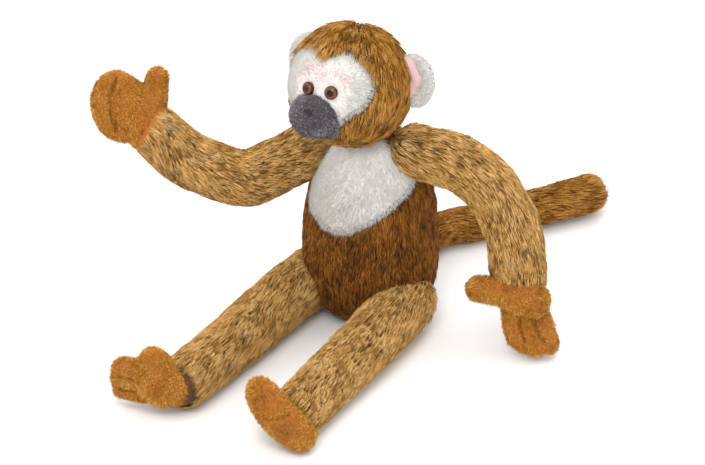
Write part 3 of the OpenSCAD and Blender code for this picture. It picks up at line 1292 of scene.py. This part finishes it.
@dataclass
class Head:
    """The stuffed head with its mask, muzzle, eyes and ears."""

    radius: float = 45.8 * MM
    turn: tuple[float, float, float] = (-5, 15, 7)
    eye_side: float = 13
    eye_up: float = 4.5
    eye_radius: float = 5.4 * MM
    muzzle_side: float = -8
    muzzle_up: float = -23
    muzzle_out: float = 45 * MM
    muzzle_size: tuple[float, float, float] = (20.5, 18, 17.5)
    ear_turn: float = -8
    ear_out: float = 47 * MM
    ear_back: float = 21 * MM
    ear_up: tuple[float, float] = (7 * MM, 9 * MM)
    ear_radius: float = 18 * MM
    mask_outline: tuple[tuple[float, float], ...] = (
        (0, 39), (11, 43), (22, 48), (38, 45), (49, 35), (55, 20), (54, 8), (49, -2), (42, -9), (34, -15), (22, -27),
        (-2, -40), (-30, -30), (-52, -20), (-64, -12), (-71, -2), (-74, 8), (-74, 20), (-68, 34), (-52, 44),
        (-28, 48), (-11, 43),
    )
    pose: Matrix = field(init=False)

    def __post_init__(self) -> None:
        """Work out the head's own frame from its pivot and its turn."""
        yaw, pitch, roll = (math.radians(angle) for angle in self.turn)
        self.pose = (
            Matrix.Translation(PIVOTS["neck_turn"]) @ Matrix.Rotation(yaw, 4, "Z")
            @ Matrix.Rotation(-pitch, 4, "X") @ Matrix.Rotation(-roll, 4, "Y")
        )

    def attach(self, piece: bpy.types.Object) -> None:
        """Fasten a piece to the head."""
        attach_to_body(piece, "head")

    def way(self, side: float, up: float) -> Vector:
        """Give the direction at an angle to the side and up, in the head's frame."""
        a, e = math.radians(side), math.radians(up)
        return Vector((math.cos(e) * math.sin(a), -math.cos(e) * math.cos(a), math.sin(e)))

    def spot(self, side: float, up: float, out: float) -> Vector:
        """Give a place on the toy from its angles and its distance from the head's centre."""
        return self.pose @ (self.way(side, up) * out)

    def local(self, points: Points) -> Points:
        """Bring points into the head's own frame."""
        back = np.array(self.pose.inverted())
        return points @ back[:3, :3].T + back[:3, 3]

    def angles(self, points: Points) -> Points:
        """Give the side and up angles of points."""
        own = self.local(points)
        side = np.degrees(np.arctan2(own[:, 0], -own[:, 1]))
        up = np.degrees(np.arctan2(own[:, 2], np.hypot(own[:, 0], own[:, 1])))
        return np.stack([side, up], axis=1)

    def in_mask(self, points: Points, grow: float = 0.0) -> np.ndarray:
        """Tell which points the mask covers.

        Args:
            points: Rows of points.
            grow: Degrees by which the outline is grown.

        Returns:
            True where the mask is.
        """
        outline = smooth_outline(self.mask_outline)
        centre = np.array([0.0, 8.0])
        outline = centre + (outline - centre) * (1 + grow / 48)
        return inside(self.angles(points), outline)

    def blush(self, points: Points) -> np.ndarray:
        """Give the strength of the blush round the eyes and between them."""
        side, up = self.angles(points).T
        spread = np.maximum(np.abs(side) - 14, 0) / 12
        height = (up - 14) / 13
        return np.clip(1.25 * np.exp(-(spread ** 2) - height ** 2) - 0.1, 0, 0.9)

    def ear_pose(self, side: Side) -> Matrix:
        """Give an ear's frame, with its face towards its third axis."""
        s = side.sign
        root = Vector((s * self.ear_out, self.ear_back, self.ear_up[0 if side is Side.LEFT else 1]))
        return (
            self.pose @ Matrix.Translation(root) @ Matrix.Rotation(math.radians(s * self.ear_turn), 4, "Z")
            @ Matrix.Rotation(math.radians(90), 4, "X")
        )

    def build_skull(self, finishes: Finishes) -> bpy.types.Object:
        """Model the head's ball, with full cheeks and dents for the eyes.

        Args:
            finishes: The toy's materials.

        Returns:
            The ball.
        """
        form = bmesh.new()
        bmesh.ops.create_icosphere(form, subdivisions=6, radius=self.radius, matrix=self.pose)
        skull = place("head_padded", form)
        own = self.local(points_of(skull))
        side, up = self.angles(points_of(skull)).T
        cheeks = np.exp(-(((np.abs(side) - 44) / 20) ** 2) - ((up + 2) / 24) ** 2)
        brow = np.exp(-((side / 30) ** 2) - ((up - 40) / 12) ** 2)
        dents = np.zeros(len(own))
        for s in Side:
            eye = self.way(s.sign * self.eye_side, self.eye_up)
            away = np.degrees(np.arccos(np.clip(unit(own) @ np.array(eye), -1, 1)))
            dents += np.exp(-((away / 11) ** 2))
        own *= (1 + 0.035 * cheeks + 0.02 * brow - 0.045 * dents)[:, None]
        turned = np.array(self.pose)
        move_points(skull, own @ turned[:3, :3].T + turned[:3, 3])
        skull.data.shade_smooth()
        skull.data.materials.append(finishes.brown_backing)
        return skull

    def seam(self) -> Crease:
        """Give the seam that runs over the head from ear to ear, behind the crown."""
        corners = []
        for angle in range(-70, 71, 10):
            a = math.radians(angle)
            across = Vector((math.sin(a), 0.36, math.cos(a))).normalized()
            corners.append(self.pose @ (across * self.radius))
        return Crease(tuple(corners), 1.8 * MM, 1.6 * MM)

    def build_face(self, finishes: Finishes, skull: bpy.types.Object) -> None:
        """Lay the mask on the head and grow its pile.

        Args:
            finishes: The toy's materials.
            skull: The head's ball.
        """
        mask = patch_from("face_mask_cloth", skull, self.in_mask(points_of(skull), -1.0), 0.15 * MM, 0.6 * MM)
        mask.data.materials.append(finishes.white_backing)
        self.attach(mask)
        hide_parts("face_mask")
        eyes = [np.array(self.spot(s.sign * self.eye_side, self.eye_up, self.radius)) for s in Side]
        muzzle = np.array(self.spot(self.muzzle_side, self.muzzle_up, self.muzzle_out))

        def bare(points: Points) -> np.ndarray:
            """Shorten the pile round the eyes."""
            near = np.min([np.linalg.norm(points - eye, axis=1) for eye in eyes], axis=0)
            between = np.exp(-((self.angles(points)[:, 0] / 24) ** 2))
            return np.clip((near - 3 * MM) / (9 * MM), 0.45, 1) * (1 - 0.3 * between)

        def place_for(points: Points, normals: Points) -> np.ndarray:
            """Keep the pile inside the mask, off the eyes and out of the muzzle."""
            clear = np.min([np.linalg.norm(points - eye, axis=1) for eye in eyes], axis=0) > self.eye_radius
            return self.in_mask(points, 0.5) & clear & (np.linalg.norm(points - muzzle, axis=1) > 13 * MM)

        Coat(
            "face_mask_pile", skull, WHITE_PILE, comb_from(self.spot(0, 2, self.radius), 0.35), 51,
            where=place_for, blush=self.blush, shorten=bare,
        ).grow(finishes.white_pile, "white_plush", self.attach)

    def build_muzzle(self, finishes: Finishes) -> None:
        """Model the velvet muzzle, wide at the chin, with a nose of black stitches.

        Args:
            finishes: The toy's materials.
        """
        size = Vector(self.muzzle_size) * MM
        base = (
            self.pose @ Matrix.Rotation(math.radians(self.muzzle_side), 4, "Z")
            @ Matrix.Rotation(math.radians(-self.muzzle_up), 4, "X")
        )
        form = bmesh.new()
        bmesh.ops.create_uvsphere(form, u_segments=40, v_segments=26, radius=1.0, matrix=base @ Matrix.Translation(
            (0, -self.muzzle_out, 0)) @ Matrix.Diagonal((*size, 1)))
        for s in (-1, 1):
            chin = base @ Vector((s * 10 * MM, -self.muzzle_out + 1 * MM, -7.5 * MM))
            bmesh.ops.create_uvsphere(
                form, u_segments=24, v_segments=16, radius=11 * MM, matrix=Matrix.Translation(chin)
            )
        muzzle = place("muzzle_padded", form)
        melt(muzzle, 1.6 * MM, 8)
        stuff(muzzle, 0.6 * MM, 2.0)
        refine(muzzle)
        fold = Crease(
            tuple(base @ (Vector(p) * MM) for p in ((-10, -60, -8), (-9, -58, -13), (-7, -54, -17))), 1.6 * MM, 2 * MM
        ).on(muzzle)
        mouth = Crease(
            tuple(base @ (Vector(p) * MM) for p in ((-17, -54, -12), (-6, -58, -15), (6, -58, -15), (17, -54, -12))),
            2.2 * MM, 1.2 * MM,
        ).on(muzzle)
        fold.pull(muzzle)
        mouth.pull(muzzle)
        skull_centre = np.array(self.pose.translation)
        Coat(
            "muzzle_velvet", muzzle, VELVET_PILE, comb_from(self.spot(0, 10, 60 * MM), 0.6), 61,
            where=lambda points, normals: np.linalg.norm(points - skull_centre, axis=1) > self.radius - 2 * MM,
            creases=(fold, mouth),
        ).grow(finishes.grey_pile, "grey_plush", self.attach)
        muzzle.data.materials.append(finishes.grey_backing)
        self.attach(muzzle)
        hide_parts("muzzle")
        self.build_nose(finishes, muzzle)

    def build_nose(self, finishes: Finishes, muzzle: bpy.types.Object) -> None:
        """Sew the nose: short black stitches side by side.

        Args:
            finishes: The toy's materials.
            muzzle: The muzzle that they lie on.
        """
        low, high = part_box("nose_stitch")
        centre = (Vector(low) + Vector(high)) / 2
        out = (centre - self.pose.translation).normalized()
        across = (self.pose.to_3x3() @ Vector((1, 0, 0))).normalized()
        upward = out.cross(across).normalized() * -1
        form = bmesh.new()
        for k in range(7):
            shift = (k - 3) * 1.0 * MM
            half = (3.2 - 0.5 * abs(k - 3)) * MM
            turned = Matrix((across, upward, out)).transposed().to_4x4()
            matrix = Matrix.Translation(centre + across * shift + upward * (0.35 * shift)) @ turned
            bmesh.ops.create_uvsphere(
                form, u_segments=10, v_segments=10, radius=1.0,
                matrix=matrix @ Matrix.Rotation(math.radians(90), 4, "X") @ Matrix.Diagonal(
                    (0.75 * MM, 0.75 * MM, half, 1)),
            )
        nose = place("nose_stitches", form)
        nose.data.shade_smooth()
        nose.data.materials.append(finishes.thread)
        inner = np.array(self.pose.translation)
        points = points_of(nose)
        lift = self.surface_height(muzzle, centre, out) - (centre - self.pose.translation).dot(out)
        points += np.array(out) * (lift + 2.4 * MM)
        move_points(nose, points)
        log.info("nose %.1f mm from the head's centre", np.linalg.norm(points.mean(axis=0) - inner) / MM)
        self.attach(nose)
        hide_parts("nose_stitch")

    def surface_height(self, piece: bpy.types.Object, near: Vector, out: Vector) -> float:
        """Give how far out a piece's surface is at a place.

        Args:
            piece: The piece.
            near: The place; not used.
            out: Direction out from the head's centre.

        Returns:
            Distance from the head's centre along that direction.
        """
        own = points_of(piece) - np.array(self.pose.translation)
        reach = own @ np.array(out)
        aside = np.linalg.norm(own - reach[:, None] * np.array(out), axis=1)
        return float(reach[(aside < 3 * MM) & (reach > 0)].max())

    def build_eye(self, side: Side, finishes: Finishes) -> None:
        """Spin one domed eye and its socket's rim.

        Args:
            side: Left or right.
            finishes: The toy's materials.
        """
        way = self.pose.to_3x3() @ self.way(side.sign * self.eye_side, self.eye_up)
        turned = way.to_track_quat("Z", "Y").to_matrix().to_4x4()
        seat = self.pose.translation + way * (self.radius + 0.4 * MM)
        form = bmesh.new()
        rim = [form.verts.new((0, 0, -3 * MM)), form.verts.new((self.eye_radius * 0.9, 0, -3 * MM))]
        for k in range(17):
            turn = math.pi / 2 * k / 16
            height = 0.62 * self.eye_radius * math.sin(turn)
            rim.append(form.verts.new((max(self.eye_radius * math.cos(turn), 1e-7), 0, height)))
        for first, second in zip(rim[:-1], rim[1:]):
            form.edges.new((first, second))
        bmesh.ops.spin(
            form, geom=form.verts[:] + form.edges[:], cent=(0, 0, 0), axis=(0, 0, 1), angle=2 * math.pi,
            steps=48, use_merge=True,
        )
        bmesh.ops.remove_doubles(form, verts=form.verts, dist=1e-6)
        bmesh.ops.recalc_face_normals(form, faces=form.faces)
        eye = place(f"eye_dome_{side.value}", form)
        away = np.linalg.norm(points_of(eye)[:, :2], axis=1) / self.eye_radius
        layer = eye.data.attributes.new("ring", "FLOAT", "POINT")
        layer.data.foreach_set("value", away.astype(np.float32))
        eye.data.transform(Matrix.Translation(seat) @ turned)
        eye.data.shade_smooth()
        eye.data.materials.append(finishes.eye)
        self.attach(eye)
        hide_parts(f"eye_{side.value}")
        washer = frame["nodes"][f"eye_washer_{side.value}"]
        washer.data.materials.clear()
        washer.data.materials.append(finishes.washer)

    def build_ear(self, side: Side, finishes: Finishes) -> None:
        """Model one ear: a white cup with a pink lobe folded over its root.

        Args:
            side: Left or right.
            finishes: The toy's materials.
        """
        s = side.sign
        pose = self.ear_pose(side)
        form = bmesh.new()
        bmesh.ops.create_icosphere(form, subdivisions=5, radius=1.0)
        ear = place(f"ear_padded_{side.value}", form)
        points = points_of(ear)
        across = np.hypot(points[:, 0], points[:, 1])
        points *= np.array([self.ear_radius, self.ear_radius * 1.12, 4.6 * MM])
        points[:, 2] += 3.2 * MM * across ** 2 - 1.0 * MM
        points[:, 2] += 1.0 * MM * np.clip(across, 0, 1) * (points[:, 2] > 0)
        move_points(ear, points)
        ear.data.transform(pose)
        ear.data.shade_smooth()
        lobe_form = bmesh.new()
        for centre, radius in (((-s * 5, 7, 4.8), 9.6), ((-s * 6, -6, 4.8), 9.2), ((s * 1, 1, 3.6), 8.5)):
            bmesh.ops.create_uvsphere(
                lobe_form, u_segments=24, v_segments=16, radius=radius * MM,
                matrix=Matrix.Translation(Vector(centre) * MM) @ Matrix.Diagonal((1, 1.15, 0.55, 1)),
            )
        lobe = place(f"ear_lobe_{side.value}", lobe_form)
        lobe.data.transform(pose)
        melt(lobe, 1.4 * MM, 5)
        refine(lobe)
        fold = Crease(
            tuple(pose @ (Vector(p) * MM) for p in ((-s * 14, -3, 8), (-s * 6, 1, 9), (-s * 1, 3, 7))), 1.5 * MM, 2.2 * MM
        ).on(lobe)
        fold.pull(lobe)
        centre = np.array(self.pose.translation)

        def out_of_head(points: Points, normals: Points) -> np.ndarray:
            """Keep the pile out of the head."""
            return np.linalg.norm(points - centre, axis=1) > self.radius - 1 * MM

        short = Pile(3.0 * MM, 0.5 * MM, 2.2, 0.4, 0.3, 0.2, 8)
        Coat(
            f"ear_pile_{side.value}", ear, short, comb_from(pose @ Vector((-s * 12 * MM, 0, 0)), 0.1), 71 + s,
            where=out_of_head,
        ).grow(finishes.white_pile, "white_plush", self.attach)
        Coat(
            f"ear_lobe_pile_{side.value}", lobe, VELVET_PILE, comb_from(pose @ Vector((-s * 14 * MM, 0, 0)), 0.1),
            75 + s, where=out_of_head, creases=(fold,), blush=lambda points: np.full(len(points), 0.5),
        ).grow(finishes.white_pile, "pink_plush", self.attach)
        ear.data.materials.append(finishes.white_backing)
        lobe.data.materials.append(finishes.pink_backing)
        for piece, node, slot in (
            (ear, f"ear_outer_{side.value}", "white_plush"), (lobe, f"ear_inner_{side.value}", "pink_plush"),
        ):
            self.attach(piece)
            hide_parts(node)

    def build(self, finishes: Finishes) -> None:
        """Model the whole head.

        Args:
            finishes: The toy's materials.
        """
        skull = self.build_skull(finishes)
        seam = self.seam().on(skull)
        seam.pull(skull)
        self.build_face(finishes, skull)
        self.build_muzzle(finishes)
        for side in Side:
            self.build_eye(side, finishes)
            self.build_ear(side, finishes)
        crown = self.pose @ Vector((0, 12 * MM, self.radius * 1.3))
        chin = np.array([0, 0, -1.0])
        front = np.array(self.pose.to_3x3() @ Vector((0, -1, 0)))

        def comb(points: Points, normals: Points) -> Points:
            """Comb from the crown down, and forward under the chin."""
            down = unit(points - np.array(crown))
            low = np.clip((self.pose.translation.z - 18 * MM - points[:, 2]) / (20 * MM), 0, 1)[:, None]
            return down * (1 - low) + (front * 0.9 + chin * 0.1) * low

        Coat(
            "head_pile", skull, LONG_PILE, comb, 81, creases=(seam,),
            where=lambda points, normals: ~self.in_mask(points),
        ).grow(finishes.brown_pile, "brown_fur", self.attach)
        self.attach(skull)
        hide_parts("head_skin", "head_filling")


# ---- hands and feet ----


@dataclass
class Extremity:
    """A hand or a foot of boa plush: lobes melted into one stuffed form, with sewn creases."""

    name: str
    body: str
    nodes: tuple[str, ...]
    pivot: Vector
    cuff: Vector
    strings: tuple[tuple[tuple[float, float, float, float], ...], ...]
    folds: tuple[tuple[tuple[float, float, float], ...], ...]
    seed: int
    voxel: float = 1.9 * MM
    fold_width: float = 1.5 * MM
    fold_depth: float = 2.6 * MM
    comb_to: tuple[float, float, float] = (0, 0, -1)
    dimples: tuple[tuple[float, float, float], ...] = ()

    def build(self, finishes: Finishes) -> None:
        """Model the form, pull its creases in and grow its short pile.

        Args:
            finishes: The toy's materials.
        """
        form = bmesh.new()
        for string in self.strings:
            stops = [(self.pivot + Vector(row[:3]) * MM, (row[3] - 1.2) * MM) for row in string]
            string_balls(form, glide(stops, 3 * MM))
        piece = place(f"{self.name}_padded", form)
        melt(piece, self.voxel, 5)
        stuff(piece, 0.9 * MM, 2.5)
        refine(piece)
        creases = tuple(
            Crease(tuple(self.pivot + Vector(p) * MM for p in fold), self.fold_width, self.fold_depth).on(piece)
            for fold in self.folds
        )
        # Dimples pull the form in; the pile there is darkened as painted shade in the hollows.
        for centre in self.dimples:
            dimple = Crease((self.pivot + Vector(centre) * MM,) * 2, 7 * MM, 3.5 * MM)
            creases += (dimple.on(piece),)
        for crease in creases:
            crease.pull(piece)
        if points_of(piece)[:, 2].min() < 2 * MM:
            press_on_floor(piece, 1.6 * MM)
        way, axis = np.array(self.comb_to, float), np.array(self.cuff.normalized())

        def past_hem(points: Points, normals: Points) -> np.ndarray:
            """Keep the pile out of the sleeve."""
            own = points - np.array(self.pivot)
            along = own @ axis
            aside = np.linalg.norm(own - along[:, None] * axis, axis=1)
            return (along > -0.5 * MM) | (aside > 21.5 * MM)

        Coat(
            f"{self.name}_boa", piece, BOA_PILE,
            lambda points, normals: np.broadcast_to(way, points.shape) + 0.4 * normals, self.seed, past_hem,
            (*creases, hem_ring(self.pivot, self.cuff, 20 * MM)),
        ).grow(finishes.tan_pile, "tan_plush", lambda pile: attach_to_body(pile, self.body))
        piece.data.materials.append(finishes.tan_backing)
        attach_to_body(piece, self.body)
        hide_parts(*self.nodes)


def extremities() -> list[Extremity]:
    """Describe the two hands and the two feet, each measured from its own joint."""
    return [
        Extremity(
            "hand_l", "hand_l", ("hand_l", "hand_filling_l"), PIVOTS["wrist_l"],
            PIVOTS["wrist_l"] - PIVOTS["elbow_l"],
            (
                ((-22, -26, 7, 11.5), (-13, -22, 6, 11.5), (-2, -16, 4, 13.5), (9, -12, 1, 15), (16, -8, -2, 14.5)),
                ((0, 0, 4, 17), (2, -4, -3, 17), (4, -6, -8, 14)),
                ((-3, -9, -12, 9), (3, -18, -24, 8.5), (9, -23, -31, 8)),
                ((2, -8, -14, 8.5), (9, -15, -26, 8.5), (15, -20, -34, 8)),
                ((7, -6, -15, 9), (15, -14, -29, 9), (21, -18, -38, 8.5)),
                ((12, -3, -15, 8.5), (20, -9, -29, 8.5), (26, -14, -37, 8)),
                ((17, 0, -16, 9), (25, -5, -29, 9), (31, -10, -38, 8.5)),
                ((9, -22, -29, 8.5), (15, -19, -36, 9), (24, -15, -37, 9), (31, -10, -34, 9)),
            ),
            (
                ((9, -16, -9), (12, -22, -20), (18, -25, -30)),
                ((19, -12, -14), (23, -15, -22), (30, -17, -31)),
            ),
            91,
        ),
        Extremity(
            "hand_r", "hand_r", ("hand_r", "hand_filling_r"), PIVOTS["wrist_r"],
            PIVOTS["wrist_r"] - PIVOTS["elbow_r"],
            (
                ((2, 0, -1, 20), (-5, 1, 5, 18.5)),
                ((-12, -4, 8, 15), (-18, 0, 17, 15), (-22, 4, 24, 12.5)),
                ((-18, 6, 27, 10), (-28, 0, 33, 11), (-32, -9, 26, 11.5), (-29, -15, 15, 11.5), (-23, -15, 4, 11),
                 (-16, -11, -1, 11)),
                ((-3, 6, 11, 15), (-2, 13, 20, 12.5), (-2, 18, 28, 10.5), (-2, 21, 34, 10)),
            ),
            (
                ((-25, -4, 39), (-23, -16, 29), (-19, -22, 15), (-15, -22, 5)),
            ),
            92, fold_width=2.2 * MM, fold_depth=4.5 * MM,
        ),
        Extremity(
            "foot_l", "foot_l", ("foot_l", "foot_filling_l"), PIVOTS["ankle_l"],
            PIVOTS["ankle_l"] - PIVOTS["knee_l"],
            (
                ((0, 3, 0, 18), (-2, -2, 0, 17)),
                ((-24, -6, 21, 11.5), (-18, -8, 16, 14.5), (-7, -9, 7, 16), (4, -9, -1, 16), (12, -8, -7, 14)),
            ),
            (
                ((-16, -28, 9), (-6, -29, 10), (2, -24, 13), (7, -16, 15)),
            ),
            93, dimples=((-12, -22, 23), (8, -26, 2)),
        ),
        Extremity(
            "foot_r", "foot_r", ("foot_r", "foot_filling_r"), PIVOTS["ankle_r"],
            PIVOTS["ankle_r"] - PIVOTS["knee_r"],
            (
                ((0, 2, 0, 16), (-4, -6, 1, 17)),
                ((-10, -10, 1, 17), (-13, -11, 8, 18), (-16, -12, 18, 15), (-17, -13, 25, 11)),
                ((-20, -14, -6, 9), (-34, -15, -7, 9), (-42, -17, -7, 8.5)),
                ((-20, -14, 3, 9), (-36, -15, 3, 9), (-44, -17, 3, 8.5)),
                ((-20, -14, 12, 9), (-34, -15, 13, 9), (-42, -17, 13, 8.5)),
                ((-42, -16, -7, 8.5), (-44, -16, 3, 8.5), (-42, -16, 13, 8.5)),
            ),
            (
                ((-28, -23, 8), (-35, -25, 8), (-41, -27, 8)),
                ((-28, -23, -3), (-35, -25, -3), (-41, -27, -3)),
            ),
            94,
        ),
    ]


# ---- studio ----


@dataclass
class Studio:
    """Pale floor, soft lights and the camera."""

    azimuth: float = 28
    elevation: float = 32
    lens: float = 400
    field_width: float = 0.55
    target: tuple[float, float, float] = (-14.4, 55.8, 40.0)

    def build(self) -> None:
        """Make the floor, the lights, the world and the camera."""
        scene = bpy.context.scene
        a, e = math.radians(self.azimuth), math.radians(self.elevation)
        right = Vector((math.cos(a), math.sin(a), 0))
        back = Vector((math.sin(a) * math.cos(e), -math.cos(a) * math.cos(e), math.sin(e)))
        up = back.cross(right)
        side, rise, deep = (value * MM for value in self.target)
        aim = right * side + up * rise + back * deep
        camera_data = bpy.data.cameras.new("camera")
        camera_data.lens = self.lens
        camera_data.sensor_width = 36
        camera = bpy.data.objects.new("camera", camera_data)
        camera.matrix_world = Matrix.Translation(aim + back * (self.field_width * self.lens / 36)) @ Matrix(
            (right, up, back)
        ).transposed().to_4x4()
        scene.collection.objects.link(camera)
        scene.camera = camera
        form = bmesh.new()
        bmesh.ops.create_grid(form, x_segments=8, y_segments=8, size=4.0)
        floor = place("floor", form)
        graph = Graph("floor_paper")
        shade = graph.mix(graph.noise(3.0), dye(246, 246, 246), dye(250, 250, 250))
        floor.data.materials.append(graph.surface(Base_Color=shade, Roughness=0.9, Specular_IOR_Level=0.1))
        world = bpy.data.worlds.new("studio")
        world.use_nodes = True
        sky = world.node_tree.nodes["Background"]
        sky.inputs[0].default_value = (1, 1, 1, 1)
        sky.inputs[1].default_value = 1.18
        scene.world = world
        scene.view_settings.view_transform = "Standard"
        for name, spot, size, power in (
            ("key", (0.35, -1.0, 1.4), 0.7, 9), ("fill", (-1.2, -0.7, 0.8), 1.2, 3), ("top", (0.3, 0.5, 1.6), 1.0, 7),
        ):
            light_data = bpy.data.lights.new(name, "AREA")
            light_data.size = size
            light_data.energy = power
            light = bpy.data.objects.new(name, light_data)
            way = Vector((0, -0.04, 0.08)) - Vector(spot)
            light.matrix_world = Matrix.Translation(spot) @ way.to_track_quat("-Z", "Y").to_matrix().to_4x4()
            scene.collection.objects.link(light)


def main() -> None:
    """Build the toy piece by piece."""
    logging.basicConfig(level=logging.INFO, format="%(name)s: %(message)s")
    Studio().build()
    finishes = Finishes()
    Torso().build(finishes)
    log.info("torso done")
    Head().build(finishes)
    log.info("head done")
    for limb in limbs():
        limb.build(finishes)
    for extremity in extremities():
        extremity.build(finishes)
    log.info("hands and feet done")


if __name__ == "__main__":
    main()
